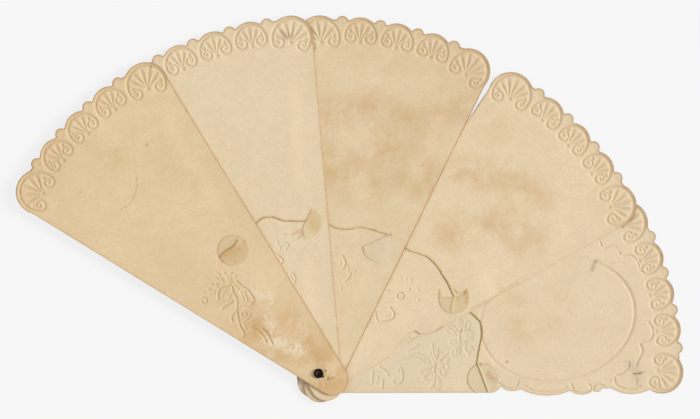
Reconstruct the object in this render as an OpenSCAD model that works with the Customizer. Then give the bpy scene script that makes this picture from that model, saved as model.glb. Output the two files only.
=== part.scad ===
// Brisé hand fan of five die-cut card leaves, lying open on its front, back side up.
// The leaves turn on one small metal eyelet. A flat thread passes through a slit in
// each leaf, and a round paper tab is glued over each place where it is held.
// Millimetres. Z is the eyelet's axis, the table is z = 0, and leaf 1 is the top one.

/* [Card leaves] */
// Length of a leaf, from its round end to the tops of its shells
leaf_len = 129; // [118:0.5:155]
// Distance from the round end to the centre of the border's arc
end_back = 10; // [8:0.5:12]
// Width of a leaf across the centre of the border's arc
hub_w = 13.2; // [11:0.1:17]
// Angle between the two straight sides of a leaf
side_taper = 27; // [24:0.5:30]
// Thickness of the card
card_t = 0.3; // [0.2:0.02:0.5]
// Free height between one leaf and the next
leaf_gap = 0.3; // [0.28:0.02:0.5]

/* [Opening] */
// Direction of leaf 5, from the X axis
leaf_5_angle = 13.6; // [0:0.1:30]
// Angle from leaf 5 to leaf 4
open_4_5 = 29.3; // [25:0.1:36]
// Angle from leaf 4 to leaf 3
open_3_4 = 34.6; // [28:0.1:36]
// Angle from leaf 3 to leaf 2
open_2_3 = 30.9; // [25:0.1:36]
// Angle from leaf 2 to leaf 1
open_1_2 = 26.5; // [22:0.1:36]

/* [Border of shells] */
// Radius of the three inner shells of a leaf
shell_r = 6.3; // [5.6:0.1:6.8]
// Radius of the two end shells of a leaf
end_shell_r = 7.5; // [6.8:0.1:8]
// Radius of the knobs between the shells
knob_r = 2; // [1.7:0.1:2.4]
// How far an end shell stands out past the straight side
shell_proud = 0.3; // [0.2:0.05:0.5]
// Depth of the valleys between the shells and the knobs
valley_depth = 1.3; // [1.2:0.1:1.6]

/* [Embossing] */
// Depth of the embossing, into the back of the card and out of its front
relief = 0.16; // [0.1:0.01:0.18]
// Width of an embossed line
line_w = 0.8; // [0.6:0.05:0.9]
// Distance from a shell's edge to the middle of its rim line
rim_in = 1.15; // [1:0.05:1.4]
// Radius of the scrolls at the two ends of a rim line
scroll_r = 1.1; // [0.9:0.05:1.15]
// Radius of the dot that a shell's petals spread from
hub_r = 0.65; // [0.5:0.05:0.8]
// Greatest width of a petal
petal_w = 0.95; // [0.7:0.05:1.1]
// Length of the oval line on the cover
oval_len = 52; // [46:0.5:54]
// Width of the oval line on the cover
oval_w = 40.8; // [36:0.2:42]

/* [Eyelet] */
// Radius of the eyelet's bore
bore_r = 0.55; // [0.4:0.05:0.8]
// Wall of the eyelet's barrel
barrel_wall = 0.35; // [0.25:0.05:0.5]
// Free play between the barrel and the holes in the leaves
hole_clear = 0.08; // [0.03:0.01:0.1]
// Radius of the flat flange on the front
flange_r = 1.9; // [1.5:0.1:2.6]
// Thickness of the flange
flange_t = 0.22; // [0.15:0.01:0.3]
// Radius of the rolled lip's section on the back
lip_r = 0.36; // [0.25:0.01:0.45]
// Play between the eyelet's two heads and the leaves
head_clear = 0.03; // [0.02:0.01:0.06]

/* [Thread and tabs] */
// Width of the flat thread
thread_w = 0.6; // [0.4:0.05:0.8]
// Height of the thread where it lies free
thread_t = 0.2; // [0.12:0.02:0.22]
// Height of the thread where it is glued down under a tab
tail_t = 0.09; // [0.06:0.01:0.1]
// Radius of a paper tab
tab_r = 5.1; // [4.5:0.1:5.5]
// Thickness of a paper tab
tab_t = 0.12; // [0.08:0.01:0.14]
// Length of a slit
slit_len = 2.4; // [1.8:0.1:3]
// Width of a slit
slit_w = 0.5; // [0.4:0.05:0.7]

/* [Hidden] */
$fn = 96;
eps = 0.01;

LEAVES = 5;
side_a = side_taper / 2;
hub_hw = hub_w / 2;
border_r = leaf_len - end_back;
pitch = card_t + leaf_gap;
stack_z = flange_t + head_clear;

// The round end touches both straight sides.
end_r = (hub_hw - end_back * tan(side_a)) * cos(side_a) / (1 - sin(side_a));
edge_d = hub_hw * cos(side_a);
barrel_r = bore_r + barrel_wall;

// Angles from the middle shell: the end shell's puts it at the straight side, and
// the others leave equal gaps between the shells.
border_mid_r = border_r - shell_r;
end_shell_step = side_a - asin((end_shell_r - shell_proud - edge_d) / (border_r - end_shell_r));
size_step = (end_shell_r - shell_r) / 2 / border_mid_r * 180 / PI;
shell_step = end_shell_step / 2 - size_step;
knob_steps = [shell_step / 2, (shell_step + end_shell_step) / 2 - size_step];

// A scroll starts a little before the end of a shell's rim line, just inside it, and
// turns this much further.
scroll_turn = 250;
scroll_lap = 10;
scroll_in = 0.1;
petal_gap = 0.35;

// An inner shell and an end shell: how far its rim line runs to each side, how far
// behind its middle the petals' dot lies, and each petal's angle and share of length.
inner_lines = [102, 1.9, [[0, 1], [25, 0.94], [50, 0.42]]];
end_lines = [121, 1.5, [[0, 1], [27, 0.94], [54, 0.7], [82, 0.3]]];
end_turn = 12;
oval_x = 79.8;
oval_sides = 72;

// Where each leaf's hole was punched, from the centre of its border's arc,
// along the leaf and to its left. The punching of the real leaves is this uneven.
hole_at = [[0, 1.86], [-0.2, 1.24], [-0.5, 1.42], [-1.5, 0.85], [-2.5, 0.8]];
leaf_angle = [
    leaf_5_angle + open_4_5 + open_3_4 + open_2_3 + open_1_2,
    leaf_5_angle + open_4_5 + open_3_4 + open_2_3,
    leaf_5_angle + open_4_5 + open_3_4,
    leaf_5_angle + open_4_5,
    leaf_5_angle
];

// The lower side of leaf 5, the cover, is cut in free scallops. Each row is a
// scallop: its centre's distance back from the border, its radius, and how far
// it reaches out past the straight side.
cover_scallops = [
    [57, 5.8, -0.5],
    [45.5, 19, 1.02],
    [34, 6, 0.72],
    [28.9, 1.6, -0.13],
    [25.8, 6, -1.3],
    [17.3, 12.8, 0.55],
    [7.2, 7.1, 0.39]
];
cover_cut_in = 3.2;
cover_corner_r = 3.4;
cover_corner_gap = 3.1;

// The piece torn out of leaf 4's lower side: distance along the side, and depth.
bite = [
    [21, -eps], [26.2, 1.8], [28.8, 2.55], [31.7, 3.55],
    [33.4, 3.5], [34.4, 1.4], [36.5, 0.45], [39.7, -eps]
];

// Where the tabs are, and where the thread goes down through the slits, from the
// eyelet along each leaf and to its left. Leaf 5 has no slit: the thread ends there,
// in a tail that goes in under its tab from this direction.
tab_at = [[49.1, -8.8], [48.8, -11.8], [45.5, -10.2], [50, -12.5], [52.6, -14.6]];
tail_5_from = 95.4;
tail_out = 0.2;
thread_at = [
    [50.2, -13], [49.7, -11.5], [50.3, -12.4], [50.7, -11.6],
    tab_at[4] + (tab_r + tail_out) * [cos(tail_5_from), sin(tail_5_from)]
];
slit_a = [20, -43, -52, -34];

// How much of each tab is left: all of it, or the part below a tear through it.
// Each tear is at this distance from the tab's centre, in the slit's direction.
tab_torn = [false, true, true, true, false];
tear_at = [0, 0.2, 2, 0.7, 0];

// The thread's tails, glued down under the two whole tabs.
tail_1_end = [50.35, -4.6];
tail_5_end = [53.4, -19.4];
tail_play = 0.1;
tail_roof = 0.01;

// Each free stretch of thread: how far along it from one hold to the next, as a
// share, and how far to the left it bows there.
bow_1_2 = [[0.29, 3.3], [0.39, 4.5], [0.5, 4.5], [0.59, 3.8], [0.66, 2.6], [0.75, 1.6]];
bow_2_3 = [[0.3, 0.1], [0.38, -0.6], [0.5, -0.6], [0.57, -0.1], [0.68, 0.9], [0.8, 0.7]];
bow_3_4 = [[0.26, 0.7], [0.4, 2.4], [0.49, 3.5], [0.55, 3.6], [0.66, 3.4], [0.76, 2.5], [0.86, 1.7]];
bow_4_5 = [[0.29, 3.5], [0.38, 4.6], [0.47, 5.6], [0.55, 5.5], [0.66, 4.4], [0.78, 2.6]];
BOWS = [bow_1_2, bow_2_3, bow_3_4, bow_4_5];
thread_clear = 0.05;
steps_per_bow = 6;

CARD = [0.89, 0.8, 0.65];
TAB = [0.84, 0.75, 0.58];
THREAD = [0.8, 0.7, 0.5];
LACQUER = [0.07, 0.06, 0.06];

// Height of leaf k's front face; leaf 5 is the lowest.
function leaf_z(k) = stack_z + (LEAVES - k) * pitch;
function leaf_top(k) = leaf_z(k) + card_t;

// A point given along leaf k and to its left, in the fan's own frame.
function on_leaf(k, p) = let (a = leaf_angle[k - 1])
    [p[0] * cos(a) - p[1] * sin(a), p[0] * sin(a) + p[1] * cos(a)];

// Moves its children from leaf k's frame, at the eyelet, into the fan's frame.
module at_leaf(k) {
    rotate(leaf_angle[k - 1]) children();
}

// Moves its children from the border arc's centre of leaf k into the leaf's frame.
module at_arc(k) {
    translate([-hole_at[k - 1][0], -hole_at[k - 1][1]]) children();
}

// Moves its children so that X runs along the leaf's lower straight side.
module along_side() {
    rotate(-side_a) translate([0, -edge_d]) children();
}

// The card between its two straight sides, up to the valleys of the border.
module tapered_card() {
    near = end_r - end_back - end_r * sin(side_a);
    far = (border_r - end_shell_r) * cos(end_shell_step);
    near_hw = end_r * cos(side_a);
    far_hw = hub_hw + far * tan(side_a);
    slice_hw = 2 * border_r * tan(end_shell_step);
    polygon([[near, -near_hw], [far, -far_hw], [far, far_hw], [near, near_hw]]);
    translate([end_r - end_back, 0]) circle(end_r);
    intersection() {
        circle(border_r - valley_depth);
        polygon([[0, 0], [2 * border_r, -slice_hw], [2 * border_r, slice_hw]]);
    }
}

// One round of the border, with its top on the border's arc.
module border_round(angle, r) {
    at_round(angle, r) circle(r);
}

// Shells and knobs from the leaf's left side to its right; the end shell on the
// right is left out of the cover.
module shell_border(right_end = true) {
    for (i = [-1:1]) border_round(i * shell_step, shell_r);
    for (a = knob_steps) {
        border_round(a, knob_r);
        border_round(-a, knob_r);
    }
    border_round(end_shell_step, end_shell_r);
    if (right_end) border_round(-end_shell_step, end_shell_r);
}

// Moves its children to a scallop of the cover's lower side.
module at_scallop(s) {
    along_side() translate([border_r - s[0], s[1] - s[2]]) children();
}

// Outline shared by leaves 1 to 4.
module leaf_outline() {
    tapered_card();
    shell_border();
}

// Outline of leaf 5, with its scalloped lower side.
module cover_outline() {
    first = cover_scallops[0];
    corner_x = border_r - first[0] - first[1] - cover_corner_gap + cover_corner_r / 2;
    difference() {
        tapered_card();
        along_side() translate([corner_x, -border_r]) square([border_r, border_r + cover_cut_in]);
    }
    along_side() translate([corner_x, cover_corner_r]) circle(cover_corner_r);
    for (s = cover_scallops) at_scallop(s) circle(s[1]);
    shell_border(false);
}

// A part of a circular line, from one angle to another.
module arc_line(r, from, to) {
    steps = 6;
    intersection() {
        difference() {
            circle(r + line_w / 2);
            circle(r - line_w / 2);
        }
        polygon(concat([[0, 0]], [
            for (i = [0:steps]) let (a = from + (to - from) * i / steps) 3 * r * [cos(a), sin(a)]
        ]));
    }
}

// A petal pointed at both ends, from the origin along X.
module petal(len) {
    r = (len * len + petal_w * petal_w) / (4 * petal_w);
    intersection() {
        translate([len / 2, r - petal_w / 2]) circle(r);
        translate([len / 2, petal_w / 2 - r]) circle(r);
    }
}

// The lines of one shell of radius r, from its centre with X outward: a rim with a
// scroll at each end, and petals that spread from a dot.
module shell_lines(r, lines) {
    rim_r = r - rim_in;
    back = lines[1];
    petals = lines[2];
    petal_from = hub_r + petal_gap;
    petal_len = back + rim_r - line_w / 2 - petal_gap - petal_from;
    arc_line(rim_r, -lines[0], lines[0]);
    for (side = [0, 1]) mirror([0, side, 0]) rotate(lines[0])
        translate([rim_r - scroll_r - scroll_in, 0]) arc_line(scroll_r, -scroll_lap, scroll_turn);
    translate([-back, 0]) circle(hub_r);
    for (side = [0, 1], i = [side:len(petals) - 1]) mirror([0, side, 0]) translate([-back, 0])
        rotate(petals[i][0]) translate([petal_from, 0]) petal(petal_len * petals[i][1]);
}

// Moves its children to a round of the border.
module at_round(angle, r) {
    rotate(angle) translate([border_r - r, 0]) children();
}

module oval(hw) {
    polygon([
        for (i = [0:oval_sides - 1]) let (a = 360 * i / oval_sides)
            [oval_x + (oval_len / 2 + hw) * cos(a), (oval_w / 2 + hw) * sin(a)]
    ]);
}

// All embossed lines of leaf k. The end shells are turned a little to the leaf's
// sides, and the cover's lower one is on its last scallop.
module embossing(k) {
    corner = cover_scallops[len(cover_scallops) - 1];
    for (i = [-1:1]) at_round(i * shell_step, shell_r) shell_lines(shell_r, inner_lines);
    at_round(end_shell_step, end_shell_r) rotate(end_turn) shell_lines(end_shell_r, end_lines);
    if (k < LEAVES) {
        at_round(-end_shell_step, end_shell_r) rotate(-end_turn)
            shell_lines(end_shell_r, end_lines);
    } else {
        at_scallop(corner) rotate(-end_turn) shell_lines(corner[1], end_lines);
        difference() {
            oval(line_w / 2);
            oval(-line_w / 2);
        }
    }
}

module slit(k) {
    translate(thread_at[k - 1]) rotate(slit_a[k - 1]) square([slit_len, slit_w], center = true);
}

module leaf(k) {
    color(CARD) at_leaf(k) translate([0, 0, leaf_z(k)]) difference() {
        union() {
            linear_extrude(card_t) difference() {
                at_arc(k) if (k == LEAVES) cover_outline(); else leaf_outline();
                if (k < LEAVES) slit(k);
                if (k == 4) at_arc(k) along_side() polygon(bite);
            }
            translate([0, 0, -relief]) linear_extrude(2 * relief) at_arc(k) embossing(k);
        }
        translate([0, 0, card_t - relief]) linear_extrude(2 * relief) at_arc(k) embossing(k);
        translate([0, 0, -card_t]) cylinder(h = 3 * card_t, r = barrel_r + hole_clear);
    }
}

// Barrel, flat flange on the front and lip rolled outward on the back.
module eyelet() {
    lip_z = leaf_top(1) + head_clear + lip_r;
    roll_r = barrel_wall / 2 + lip_r;
    color(LACQUER) rotate_extrude() {
        translate([bore_r, 0]) square([barrel_wall, lip_z]);
        translate([bore_r, 0]) square([flange_r - flange_t / 2 - bore_r, flange_t]);
        translate([flange_r - flange_t / 2, flange_t / 2]) circle(flange_t / 2);
        translate([barrel_r + lip_r, lip_z]) circle(lip_r);
        translate([bore_r, lip_z]) intersection() {
            translate([roll_r, 0]) circle(roll_r);
            square(2 * roll_r);
        }
    }
}

// Plan of tab k: a disc, or the part of it below a tear. The cover's tab is cut off
// with the cover's own side.
module tab_plan(k) {
    intersection() {
        translate(tab_at[k - 1]) circle(tab_r);
        if (tab_torn[k - 1]) {
            translate(tab_at[k - 1]) rotate(slit_a[k - 1])
                translate([-2 * tab_r, tear_at[k - 1] - 4 * tab_r]) square(4 * tab_r);
        } else if (k == LEAVES) {
            at_arc(k) cover_outline();
        } else {
            translate(tab_at[k - 1]) square(3 * tab_r, center = true);
        }
    }
}

// A straight strip from a to b, w wide.
module strip(a, b, w) {
    d = b - a;
    translate(a) rotate(atan2(d[1], d[0])) translate([0, -w / 2]) square([norm(d), w]);
}

// The whole tabs are raised in a ridge over the tail of the thread.
module tab(k) {
    from = thread_at[k - 1];
    to = k == 1 ? tail_1_end : tail_5_end;
    over = tail_t + tail_roof;
    color(TAB) at_leaf(k) translate([0, 0, leaf_top(k)]) {
        if (tab_torn[k - 1]) {
            linear_extrude(tab_t) tab_plan(k);
        } else {
            difference() {
                union() {
                    linear_extrude(tab_t) tab_plan(k);
                    linear_extrude(tab_t + over) intersection() {
                        tab_plan(k);
                        tail_band(from, to, thread_w + 2 * tail_play + 2 * tab_t);
                    }
                }
                translate([0, 0, -over]) linear_extrude(2 * over)
                    tail_band(from, to, thread_w + 2 * tail_play);
            }
        }
    }
}

// A tail, which starts a little inside the stretch that it belongs to.
module tail_from(from, to) {
    d = (to - from) / norm(to - from);
    strip(from - d * thread_w / 2, to, thread_w);
}

// The line of a tail, run on past both of its ends.
module tail_band(from, to, w) {
    d = (to - from) / norm(to - from);
    strip(from - d * tab_r, to + d * tab_r, w);
}

// A smooth curve through the points p, with n steps from each to the next.
function through(p, n) = [
    for (i = [0:len(p) - 2]) let (
        a = p[max(i - 1, 0)], b = p[i], c = p[i + 1], d = p[min(i + 2, len(p) - 1)]
    )
        for (j = [0:n - 1]) let (t = j / n)
            0.5 * (2 * b + (c - a) * t + (2 * a - 5 * b + 4 * c - d) * t * t
                + (3 * b - a - 3 * c + d) * t * t * t),
    p[len(p) - 1]
];

function left_of(v) = [-v[1], v[0]] / norm(v);

// Route of the thread from its hold on leaf k to its hold on leaf k + 1.
function route(k) = let (
    a = on_leaf(k, thread_at[k - 1]),
    b = on_leaf(k + 1, thread_at[k]),
    side = left_of(b - a)
)
    through(concat([a], [for (s = BOWS[k - 1]) a + (b - a) * s[0] + side * s[1]], [b]),
        steps_per_bow);

// Outline of a band w wide along the line p.
function band(p, w) = let (
    last = len(p) - 1,
    side = [for (i = [0:last]) left_of(p[min(i + 1, last)] - p[max(i - 1, 0)]) * w / 2]
)
    concat([for (i = [0:last]) p[i] + side[i]], [for (i = [last:-1:0]) p[i] - side[i]]);

// The thread lies on leaf k + 1, runs in under leaf k and comes up through its slit.
module thread(k) {
    low = leaf_top(k + 1) + thread_clear;
    color(THREAD) {
        translate([0, 0, low]) linear_extrude(thread_t) polygon(band(route(k), thread_w));
        at_leaf(k) translate(concat(thread_at[k - 1], low)) rotate(slit_a[k - 1])
            translate([-thread_w / 2, -thread_t / 2, 0])
                cube([thread_w, thread_t, leaf_top(k) + tail_t - low - (k == 1 ? 0 : tail_t)]);
        if (k == 1) {
            at_leaf(1) translate([0, 0, leaf_top(1)]) linear_extrude(tail_t)
                tail_from(thread_at[0], tail_1_end);
        }
        if (k == LEAVES - 1) {
            at_leaf(LEAVES) translate([0, 0, leaf_top(LEAVES)]) linear_extrude(tail_t)
                tail_from(thread_at[LEAVES - 1], tail_5_end);
        }
    }
}

leaf(1);  // leaf_1
leaf(2);  // leaf_2
leaf(3);  // leaf_3
leaf(4);  // leaf_4
leaf(5);  // leaf_5
eyelet();
tab(1);  // tab_1
tab(2);  // tab_2
tab(3);  // tab_3
tab(4);  // tab_4
tab(5);  // tab_5
thread(1);  // thread_1_2
thread(2);  // thread_2_3
thread(3);  // thread_3_4
thread(4);  // thread_4_5
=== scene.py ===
"""Looks of a die-cut paper hand fan: five embossed card leaves, tabs, thread and eyelet.

Shapes are worked out in millimetres in the fan's own frame and become metres as each
mesh is made. The outline of every leaf is read from the frame's own solids.
"""
import math

import bpy
import numpy as np
from mathutils.geometry import delaunay_2d_cdt
from mathutils.kdtree import KDTree
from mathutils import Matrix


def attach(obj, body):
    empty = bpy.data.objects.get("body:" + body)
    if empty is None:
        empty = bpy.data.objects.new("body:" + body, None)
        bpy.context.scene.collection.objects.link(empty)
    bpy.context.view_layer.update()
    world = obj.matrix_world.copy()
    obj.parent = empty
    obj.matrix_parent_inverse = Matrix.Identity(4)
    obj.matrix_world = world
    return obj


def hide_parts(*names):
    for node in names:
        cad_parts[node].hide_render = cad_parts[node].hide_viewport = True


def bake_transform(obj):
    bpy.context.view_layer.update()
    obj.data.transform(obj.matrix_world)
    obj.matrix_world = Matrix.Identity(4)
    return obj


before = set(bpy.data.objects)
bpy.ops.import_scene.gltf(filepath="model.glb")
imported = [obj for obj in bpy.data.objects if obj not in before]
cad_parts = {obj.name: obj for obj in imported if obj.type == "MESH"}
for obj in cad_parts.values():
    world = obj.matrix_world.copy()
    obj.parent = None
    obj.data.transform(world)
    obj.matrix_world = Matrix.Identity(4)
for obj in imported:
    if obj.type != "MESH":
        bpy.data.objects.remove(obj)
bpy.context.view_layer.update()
MM = 0.001

# The photograph: its size, its scale, and where the eyelet's axis stands in it.
PHOTO_W, PHOTO_H = 700, 419
PX_PER_MM = 3.0
EYELET_PX = (318.7, 373.1)

# The card leaves, in the sizes of the CAD model.
LEAVES = 5
CARD_T = 0.3
PITCH = 0.6
LEAF_5_Z = 0.25
LEAF_ANGLE = {1: 134.9, 2: 108.4, 3: 77.5, 4: 42.9, 5: 13.6}
HOLE_AT = {1: (0, 1.86), 2: (-0.2, 1.24), 3: (-0.5, 1.42), 4: (-1.5, 0.85), 5: (-2.5, 0.8)}
SIDE_A = 13.5
HUB_HW = 6.6
BORDER_R = 119
SHELL_R = 6.3
END_SHELL_R = 7.5
SHELL_PROUD = 0.3
COVER_CORNER = (7.2, 7.1, 0.39)

# Embossing: half widths and depths of its lines.
RIM_IN = 1.15
RIM_HW = 0.78
RIM_DEEP = 0.23
SCROLL_R = 1.85
SCROLL_TURN = 400
SCROLL_TIGHT = 0.76
RIM_HALVES = (0.4, 0.62, RIM_HW, RIM_HW, RIM_HW, 0.62, 0.4)
RIM_DEPTHS = (0.2, 0.2, 0.22, RIM_DEEP, 0.22, 0.2, 0.2)
PETAL_HALVES, PETAL_DEPTHS = (0.3, 0.6, 0.88, 0.98, 0.8), (0.14, 0.22, 0.23, 0.21, 0.12)
PETAL_NEAREST, PETAL_OFF_RIM = 0.8, 1.7
DOT, PIT, KNOB = (1.05, 0.23), (0.6, 0.24), (1.2, 0.06)
KNOB_IN = 2.2
OVAL_HW = 0.8
SPRAY_GAIN = 1.25
OVAL_AT, OVAL_LEN, OVAL_W = (79.0, -0.45), 52, 40.8
# The oval's depth all round, from its outer end on: worn away towards the hub's upper side.
OVAL_DEEP = (0.19, 0.2, 0.04, 0.01, 0.02, 0.07, 0.12, 0.09, 0.08, 0.1, 0.14, 0.17, 0.19)

# An inner shell and an end shell: how far its rim line runs to each side, how far
# behind its middle the petals' dot lies, and each petal's angle, the share of the
# length that it reaches, and how far from the dot it begins.
INNER_LINES = (99, 1.9, ((0, 1, 0.8), (24, 0.95, 1), (-24, 0.95, 1), (47, 0.86, 4.5), (-47, 0.86, 4.5)))
END_LINES = (116, 1.5, ((0, 1, 0.8), (25, 0.97, 1), (-25, 0.97, 1), (50, 0.9, 1.4), (-50, 0.9, 1.4),
                        (74, 0.76, 4.4), (-74, 0.76, 4.4)))
END_TURN = 12

# Spacing of the mesh's points on embossing, beside it and elsewhere. The cover leaf, which
# has most embossing, is a little coarser.
FINE, NEAR, COARSE = 0.17, 0.42, 1.7
FINE_COVER = 0.195


def seen(points):
    """Points of the photograph, in pixels, in the fan's frame."""
    p = np.asarray(points, float)
    return (p - EYELET_PX) / PX_PER_MM * (1, -1)


def turned(points, degrees):
    a = math.radians(degrees)
    p = np.asarray(points, float)
    return p @ np.array([[math.cos(a), math.sin(a)], [-math.sin(a), math.cos(a)]])


def arc_to_fan(k, points):
    """From the frame of leaf k's border arc to the fan's frame."""
    return turned(np.asarray(points, float) - HOLE_AT[k], LEAF_ANGLE[k])


def leaf_z(k):
    return LEAF_5_Z + (LEAVES - k) * PITCH


def leaf_top(k):
    return leaf_z(k) + CARD_T


def outline_loops(node, top, thick):
    """Closed outlines of a plate, from the upper edges of its full-height walls."""
    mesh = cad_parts[node].data
    mesh.calc_loop_triangles()
    co = np.array([v.co for v in mesh.vertices]) / MM
    tri = np.array([t.vertices for t in mesh.loop_triangles])
    high = np.abs(co[tri, 2] - top) < 0.02
    low = np.abs(co[tri, 2] - top + thick) < 0.02
    wall = (high.sum(1) == 2) & (low.sum(1) == 1)
    follow = {}
    for corners, up in zip(tri[wall], high[wall]):
        i = int(np.nonzero(~up)[0][0])
        a, b = corners[(i + 1) % 3], corners[(i + 2) % 3]
        follow[tuple(np.round(co[b, :2], 3))] = tuple(np.round(co[a, :2], 3))
    loops = []
    while follow:
        start, point = follow.popitem()
        loop = [start]
        while point != start and point in follow:
            loop.append(point)
            point = follow.pop(point)
        if len(loop) > 2:
            loops.append(np.array(loop))
    return sorted(loops, key=lambda p: -abs(area(p)))


def area(loop):
    x, y = loop[:, 0], loop[:, 1]
    return 0.5 * float(np.sum(x * np.roll(y, -1) - y * np.roll(x, -1)))


def resampled(loop, step):
    """The loop with points added so that none are more than a step apart."""
    out = []
    for a, b in zip(loop, np.roll(loop, -1, 0)):
        n = max(1, math.ceil(np.linalg.norm(b - a) / step))
        out += [a + (b - a) * i / n for i in range(n)]
    return np.array(out)


def inside(points, loop):
    """Which points lie inside a closed loop."""
    x, y = points[:, :1], points[:, 1:]
    odd = np.zeros(len(points), bool)
    a, b = loop, np.roll(loop, -1, 0)
    for i in range(0, len(points), 8000):
        s = slice(i, i + 8000)
        spans = (a[:, 1] > y[s]) != (b[:, 1] > y[s])
        with np.errstate(divide="ignore", invalid="ignore"):
            cross = a[:, 0] + (y[s] - a[:, 1]) * (b[:, 0] - a[:, 0]) / (b[:, 1] - a[:, 1])
        odd[s] = (spans & (x[s] < cross)).sum(1) % 2 == 1
    return odd


def nearest(points, loop):
    """Distance to a closed loop of short edges and the direction to its nearest point."""
    tree = KDTree(len(loop))
    for i, (x, y) in enumerate(loop):
        tree.insert((x, y, 0), i)
    tree.balance()
    corner = np.array([tree.find((x, y, 0))[1] for x, y in points], int)
    best = np.full(len(points), 1e9)
    way = np.zeros((len(points), 2))
    for first in (corner - 1, corner):
        a = loop[first % len(loop)]
        d = loop[(first + 1) % len(loop)] - a
        t = np.clip(((points - a) * d).sum(1) / np.maximum((d * d).sum(1), 1e-12), 0, 1)
        v = a + t[:, None] * d - points
        r = np.hypot(*v.T)
        closer = r < best
        best[closer] = r[closer]
        way[closer] = v[closer]
    return best, way / np.maximum(best, 1e-9)[:, None]


class Stroke:
    """An embossed line: points, the half width and the depth at each of them."""

    def __init__(self, line, half, deep):
        self.line = np.atleast_2d(np.asarray(line, float))
        n = len(self.line)
        self.half = np.interp(np.linspace(0, 1, n), np.linspace(0, 1, np.size(half)), np.atleast_1d(half))
        self.deep = np.interp(np.linspace(0, 1, n), np.linspace(0, 1, np.size(deep)), np.atleast_1d(deep))

    def moved(self, move):
        return Stroke(move(self.line), self.half, self.deep)

    def dent(self, points, spread=0.0):
        """Depth of this line at the points, each line wider by the spread."""
        out = np.zeros(len(points))
        reach = self.half.max() + spread
        low, high = self.line.min(0) - reach, self.line.max(0) + reach
        near = np.nonzero(((points > low) & (points < high)).all(1))[0]
        p = points[near]
        best = np.zeros(len(near))
        last = max(len(self.line) - 1, 1)
        for i in range(last):
            a = self.line[i]
            d = self.line[min(i + 1, len(self.line) - 1)] - a
            t = np.clip((p - a) @ d / max(d @ d, 1e-12), 0, 1)
            away = np.hypot(*(p - a - t[:, None] * d).T)
            j = min(i + 1, len(self.half) - 1)
            half = self.half[i] + t * (self.half[j] - self.half[i]) + spread
            deep = self.deep[i] + t * (self.deep[j] - self.deep[i])
            best = np.maximum(best, deep * (0.5 + 0.5 * np.cos(np.pi * np.minimum(away / half, 1))) ** 0.8)
        out[near] = best
        return out


def curve(points, steps=6):
    """A smooth line through the points."""
    p = np.asarray(points, float)
    out = []
    for i in range(len(p) - 1):
        a, b, c, d = p[max(i - 1, 0)], p[i], p[i + 1], p[min(i + 2, len(p) - 1)]
        for t in np.arange(steps) / steps:
            out.append(0.5 * (2 * b + (c - a) * t + (2 * a - 5 * b + 4 * c - d) * t**2
                              + (3 * b - a - 3 * c + d) * t**3))
    return np.array(out + [p[-1]])


def polar(r, degrees):
    a = np.radians(degrees)
    return np.stack([r * np.cos(a), r * np.sin(a)], -1)


def shell_strokes(r, lines):
    """A shell of radius r, from its centre with X outward: a rim line that ends in two
    scrolls, petals that spread from a dot, and a pit in each scroll."""
    rim_end, back, petals = lines
    rim = r - RIM_IN
    share = np.linspace(0, 1, 32)
    centre = polar(rim - SCROLL_R, rim_end)
    scroll = centre + polar(SCROLL_R * (1 - SCROLL_TIGHT * share**2), rim_end + SCROLL_TURN * share)
    arc = polar(rim, np.arange(-rim_end, rim_end, 6.0))
    line = np.concatenate([scroll[::-1] * (1, -1), arc, scroll])
    strokes = [Stroke(line, RIM_HALVES, RIM_DEPTHS)]
    hub = np.array([-back, 0.0])
    for degrees, length, near in petals:
        far = PETAL_NEAREST + (rim - PETAL_OFF_RIM + back) * length
        line = hub + polar(np.linspace(near, far, 8), degrees)
        strokes.append(Stroke(line, PETAL_HALVES, PETAL_DEPTHS))
    strokes.append(Stroke(hub, *DOT))
    for side in (1, -1):
        strokes.append(Stroke(centre * (1, side), *PIT))
    return strokes


def border_strokes(k):
    """The embossed border of leaf k, in the frame of its border arc."""
    edge_d = HUB_HW * math.cos(math.radians(SIDE_A))
    end_step = SIDE_A - math.degrees(
        math.asin((END_SHELL_R - SHELL_PROUD - edge_d) / (BORDER_R - END_SHELL_R)))
    size_step = math.degrees((END_SHELL_R - SHELL_R) / 2 / (BORDER_R - SHELL_R))
    step = end_step / 2 - size_step
    knob_steps = (step / 2, (step + end_step) / 2 - size_step)
    shells = [(i * step, SHELL_R, (BORDER_R - SHELL_R, 0), 0, INNER_LINES) for i in (-1, 0, 1)]
    shells.append((end_step, END_SHELL_R, (BORDER_R - END_SHELL_R, 0), END_TURN, END_LINES))
    if k < LEAVES:
        shells.append((-end_step, END_SHELL_R, (BORDER_R - END_SHELL_R, 0), -END_TURN, END_LINES))
    else:
        back, r, out = COVER_CORNER
        shells.append((-SIDE_A, r, (BORDER_R - back, r - out - edge_d), -END_TURN, END_LINES))
    strokes = []
    for degrees, r, place, turn, lines in shells:
        for s in shell_strokes(r, lines):
            strokes.append(s.moved(lambda p: turned(turned(p, turn) + place, degrees)))
    if k == LEAVES:
        ring = polar(1, np.linspace(0, 360, 97)) * (OVAL_LEN / 2, OVAL_W / 2) + OVAL_AT
        strokes.append(Stroke(ring, OVAL_HW, OVAL_DEEP))
    for degrees in knob_steps:
        for side in (1, -1):
            strokes.append(Stroke(polar(BORDER_R - KNOB_IN, degrees * side), *KNOB))
    return strokes


def lattice(low, high, step):
    """Points of a triangular lattice over a box."""
    rows = np.arange(low[1], high[1], step * 0.866)
    columns = np.arange(low[0], high[0], step)
    x, y = np.meshgrid(columns, rows)
    x = x + (np.arange(len(rows)) % 2 * step / 2)[:, None]
    return np.stack([x.ravel(), y.ravel()], -1)


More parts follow.
